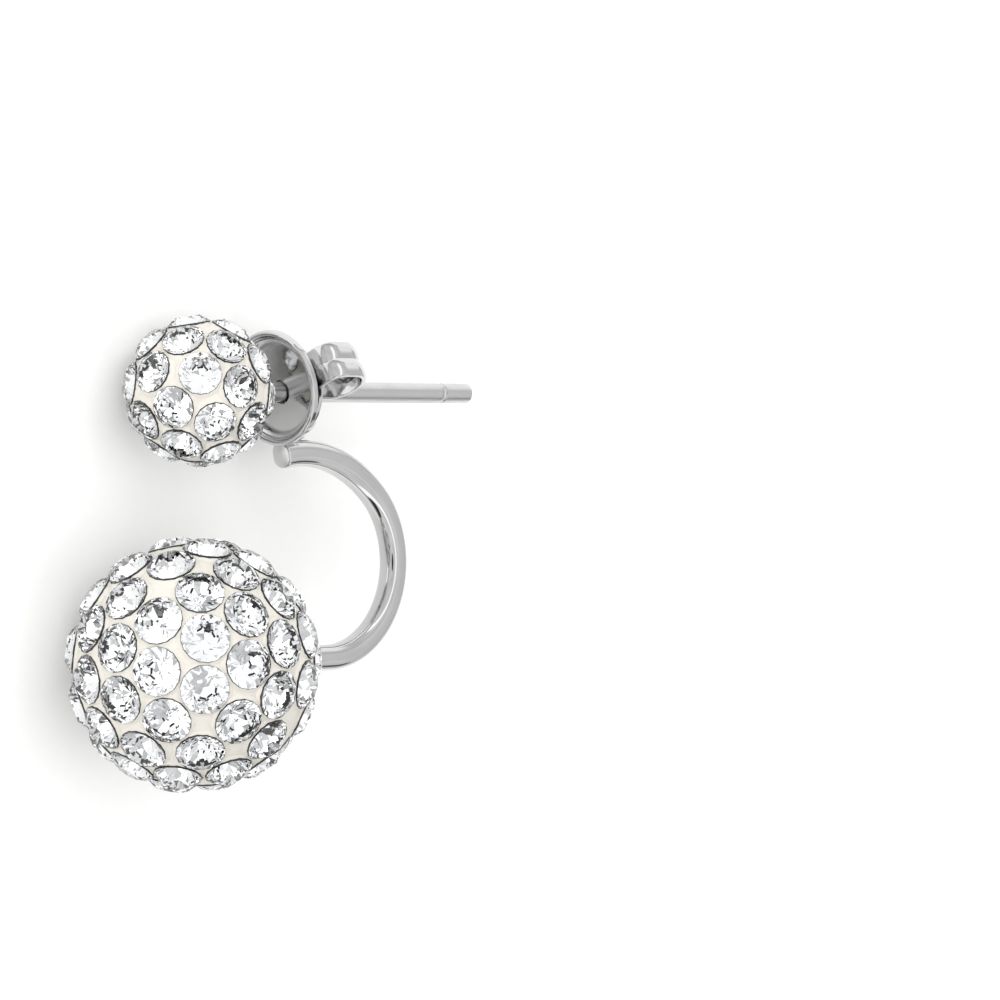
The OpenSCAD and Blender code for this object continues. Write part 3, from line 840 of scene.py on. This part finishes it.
class EARRING_OT_nut(Operator):
    """Bends the friction nut from sheet: a round plate and two curled wings"""
    bl_idname = "earring.nut"
    bl_label = "Friction Nut"

    def execute(self, context):
        sizes, finish = context.scene.earring_post_nut, context.scene.earring_finish
        t, w = sizes.sheet_t / MM, sizes.strip_w / MM
        x0, hole = sizes.nut_x / MM, sizes.hole_r / MM
        radius, root = sizes.wing_r / MM, sizes.root_r / MM
        middle, outer = sizes.wing_out / MM, (sizes.wing_out + sizes.wing_r) / MM
        leg_end = x0 + t + sizes.leg / MM
        inner_x = x0 + t + sizes.curl_gap / MM
        turn_in = t / 2 + 0.02
        flat_in = 0.03
        bend_steps, curl_steps, fade_steps = 10, 28, 8
        bend = arc((x0 + root, outer - root), root - t / 2, 180, 90, bend_steps)
        curl = arc((leg_end, middle), radius - t / 2, 90, -90, curl_steps)
        tuck = arc((inner_x + t / 2 + turn_in, middle - radius + t / 2 - turn_in),
                   turn_in, 90, 180, 5)
        # Each stop: its place in two axes, and how fully the strip is arched there.
        path = [((x0 + t / 2, y), 0) for y in (0, 0.5 * outer)]
        path += [(at, i / bend_steps) for i, at in enumerate(bend)]
        # Two stops inside the flat keep its shading flat.
        path += [((x, outer - t / 2), 1) for x in (x0 + root + flat_in, leg_end - flat_in)]
        path += [(at, min(1, (curl_steps - i) / fade_steps)) for i, at in enumerate(curl)]
        path += [(at, 0) for at in tuck + [(inner_x + t / 2, sizes.post_r / MM / 2)]]

        bm = bmesh.new()
        edge = sizes.edge / MM
        plate_r = sizes.plate_d / MM / 2
        lathe(bm, [(hole, edge), (hole + edge, 0), (plate_r - edge, 0), (plate_r, edge),
                   (plate_r, t - edge), (plate_r - edge, t), (hole + edge, t), (hole, t - edge)],
              ring=True)
        to_plate = Matrix.Translation((x0, 0, 0)) @ Matrix.Rotation(math.pi / 2, 4, "Y")
        bmesh.ops.transform(bm, matrix=to_plate, verts=bm.verts)
        for side in (0, math.pi):
            strip = self.strip(path, t, w, sizes)
            strip.data.transform(Matrix.Rotation(side, 4, "X"))
            bm.from_mesh(strip.data)
            bpy.data.meshes.remove(strip.data)
        turn = Matrix.Rotation(-sizes.turn, 4, "X")
        bmesh.ops.transform(bm, matrix=turn, verts=bm.verts)
        piece = laid_object("friction_nut", bm, 20)
        piece.data.materials.append(material_named(
            "stamped_silver", polished_silver, finish, (0.06, 0.16), 0.5))
        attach(piece, "nut")
        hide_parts("nut")
        return {"FINISHED"}

    def strip(self, path, t, w, sizes):
        """One wing's strip: two arched halves with a pressed line between them, its end
        notched for the post."""
        points = [Vector((*at, 0)) for at, arched in path]
        # The section: face (1 is the outer one) and place across, from edge to edge.
        section = [(1, 1 - i / 12) for i in range(25)] + [(-1, i / 12 - 1) for i in range(25)]
        rows = []
        for i, (at, arched) in enumerate(path):
            ahead = (points[min(i + 1, len(points) - 1)] - points[max(i - 1, 0)]).normalized()
            out = Vector((-ahead.y, ahead.x, 0))
            sunk = arched * sizes.arch / MM
            rows.append([points[i] + out * (t / 2 * a - sunk * (2 * abs(b) - 1) ** 2)
                         + Vector((0, 0, w / 2 * b)) for a, b in section])
        bm = bmesh.new()
        skin(bm, rows)
        strip = loose_object("strip", bm)
        round_edges = strip.modifiers.new("edges", "BEVEL")
        round_edges.width = sizes.edge / MM
        round_edges.segments = 3
        round_edges.limit_method = "ANGLE"
        round_edges.angle_limit = math.radians(50)
        apply_modifiers(strip)
        drill(strip, sizes.hole_r / MM, 0, 20, Matrix.Rotation(math.pi / 2, 4, "Y"))
        return strip


class EARRING_OT_stage(Operator):
    """Lays the floor, lights it softly and puts the camera where the photograph's stood"""
    bl_idname = "earring.stage"
    bl_label = "Studio"

    def execute(self, context):
        scene = context.scene
        stage, finish = scene.earring_stage, scene.earring_finish
        bm = bmesh.new()
        bmesh.ops.create_grid(bm, x_segments=12, y_segments=12, size=stage.floor_w / 2)
        mesh = bpy.data.meshes.new("floor")
        bm.to_mesh(mesh)
        bm.free()
        floor = add_object("floor", mesh)
        mesh.materials.append(material_named("studio_board", studio_board, finish))

        for name, away, size, share in SOFTBOXES:
            self.softbox(name, Vector(away), size, share * stage.lamps)
        self.surround(scene, stage)
        self.camera(scene, stage)
        scene.view_settings.view_transform = "Standard"
        return {"FINISHED"}

    def softbox(self, name, away, size, power):
        light = bpy.data.lights.new(name, "AREA")
        light.shape = "RECTANGLE"
        light.size, light.size_y = size
        light.energy = power
        holder = add_object(name, light)
        holder.location = LAID @ EARRING_AT + away
        # Only the crystals mirror the lamps: the silver shows the tent's softer greys.
        holder.visible_glossy = False
        holder.rotation_mode = "QUATERNION"
        holder.rotation_quaternion = (-away).to_track_quat("-Z", "Y")

    def surround(self, scene, stage):
        """A white tent, darker low down, with a bright strip overhead and cards on its wall."""
        world = bpy.data.worlds.new("tent")
        scene.world = world
        world.use_nodes = True
        tree = world.node_tree
        tree.nodes.clear()
        way = add_node(tree, "ShaderNodeTexCoord").outputs["Generated"]
        axes = add_node(tree, "ShaderNodeSeparateXYZ", {"Vector": way}).outputs
        tent = add_node(tree, "ShaderNodeValToRGB", {"Fac": axes["Z"]})
        ramp = tent.color_ramp
        while len(ramp.elements) < len(TENT):
            ramp.elements.new(0.5)
        for element, (at, grey) in zip(ramp.elements, TENT):
            element.position = at
            element.color = (grey, grey, grey, 1)
        cloth = add_node(tree, "ShaderNodeTexNoise", {"Vector": way, "Scale": 3.0, "Detail": 2.0})
        uneven = add_node(tree, "ShaderNodeMapRange", {
            "Value": cloth.outputs["Fac"], "From Min": 0.3, "From Max": 0.7,
            "To Min": CLOTH[0], "To Max": CLOTH[1]})
        shade = add_node(tree, "ShaderNodeVectorMath", {
            0: tent.outputs["Color"], "Scale": uneven.outputs[0]}, operation="SCALE").outputs[0]
        for card, near, far, grey in CARDS:
            dot = add_node(tree, "ShaderNodeVectorMath", {
                0: way, 1: Vector(card).normalized()}, operation="DOT_PRODUCT")
            inside = add_node(tree, "ShaderNodeMapRange", {
                "Value": dot.outputs["Value"], "From Min": near, "From Max": far})
            shade = add_node(tree, "ShaderNodeMixRGB", {
                "Fac": inside.outputs[0], "Color1": shade,
                "Color2": (grey, grey, grey, 1)}).outputs[0]
        across = add_node(tree, "ShaderNodeMath", {0: axes["X"]}, operation="ABSOLUTE")
        strip = add_node(tree, "ShaderNodeMapRange", {
            "Value": across.outputs[0], "From Min": STRIP_WIDTH[0], "From Max": STRIP_WIDTH[1]})
        raised = add_node(tree, "ShaderNodeMapRange", {
            "Value": axes["Z"], "From Min": STRIP_HEIGHT[0], "From Max": STRIP_HEIGHT[1]})
        both = add_node(tree, "ShaderNodeMath", {
            0: strip.outputs[0], 1: raised.outputs[0]}, operation="MULTIPLY")
        shade = add_node(tree, "ShaderNodeMixRGB", {
            "Fac": both.outputs[0], "Color1": shade,
            "Color2": (STRIP_GREY, STRIP_GREY, STRIP_GREY, 1)}).outputs[0]
        direct = add_node(tree, "ShaderNodeLightPath").outputs["Is Camera Ray"]
        shade = add_node(tree, "ShaderNodeMixRGB", {
            "Fac": direct, "Color1": shade, "Color2": (1, 1, 1, 1)}).outputs[0]
        glow = add_node(tree, "ShaderNodeBackground", {"Color": shade, "Strength": stage.sky})
        add_node(tree, "ShaderNodeOutputWorld", {"Surface": glow.outputs[0]})

    def camera(self, scene, stage):
        """Halfway between the small ball's front and side, level with the worn earring."""
        turn = LAID.to_3x3().normalized()
        back = turn @ Vector((-1, -1, 0)).normalized()
        up = turn @ Vector((0, 0, 1))
        right = up.cross(back)
        ball = LAID @ SMALL_AT
        aim = ball + right * ((PICTURE / 2 - stage.ball_right) / stage.scale * MM) \
            - up * ((PICTURE / 2 - stage.ball_down) / stage.scale * MM)
        data = bpy.data.cameras.new("camera")
        data.lens = stage.lens
        data.sensor_width = SENSOR
        distance = PICTURE / stage.scale * MM * stage.lens / SENSOR
        data.clip_start, data.clip_end = 0.01, 20
        camera = add_object("camera", data)
        camera.matrix_world = Matrix.Translation(aim + back * distance) \
            @ Matrix((right, up, back)).transposed().to_4x4()
        scene.camera = camera


class EARRING_PT_panel(Panel):
    """The earring's pieces, in the order they are made"""
    bl_idname = "EARRING_PT_panel"
    bl_label = "Ear Jacket Earring"
    bl_space_type = "VIEW_3D"
    bl_region_type = "UI"
    bl_category = "Earring"

    def draw(self, context):
        layout = self.layout
        for operator in OPERATORS:
            layout.operator(operator.bl_idname)
        for name in GROUPS:
            box = layout.box()
            group = getattr(context.scene, name)
            for key in group.bl_rna.properties.keys():
                if key not in ("rna_type", "name"):
                    box.prop(group, key)


GROUPS = {
    "earring_balls": EarringBalls,
    "earring_jacket": EarringJacket,
    "earring_post_nut": EarringPostNut,
    "earring_finish": EarringFinish,
    "earring_stage": EarringStage,
}
OPERATORS = (EARRING_OT_stones, EARRING_OT_clay, EARRING_OT_jacket, EARRING_OT_post,
             EARRING_OT_nut, EARRING_OT_stage)


def register():
    for group in GROUPS.values():
        bpy.utils.register_class(group)
    for operator in OPERATORS:
        bpy.utils.register_class(operator)
    bpy.utils.register_class(EARRING_PT_panel)
    for name, group in GROUPS.items():
        setattr(bpy.types.Scene, name, PointerProperty(type=group))


def unregister():
    for name in GROUPS:
        delattr(bpy.types.Scene, name)
    bpy.utils.unregister_class(EARRING_PT_panel)
    for operator in reversed(OPERATORS):
        bpy.utils.unregister_class(operator)
    for group in reversed(list(GROUPS.values())):
        bpy.utils.unregister_class(group)


def main():
    register()
    bpy.ops.earring.stones()
    bpy.ops.earring.clay()
    bpy.ops.earring.jacket()
    bpy.ops.earring.post()
    bpy.ops.earring.nut()
    bpy.ops.earring.stage()
    bpy.context.view_layer.update()


if __name__ == "__main__":
    main()
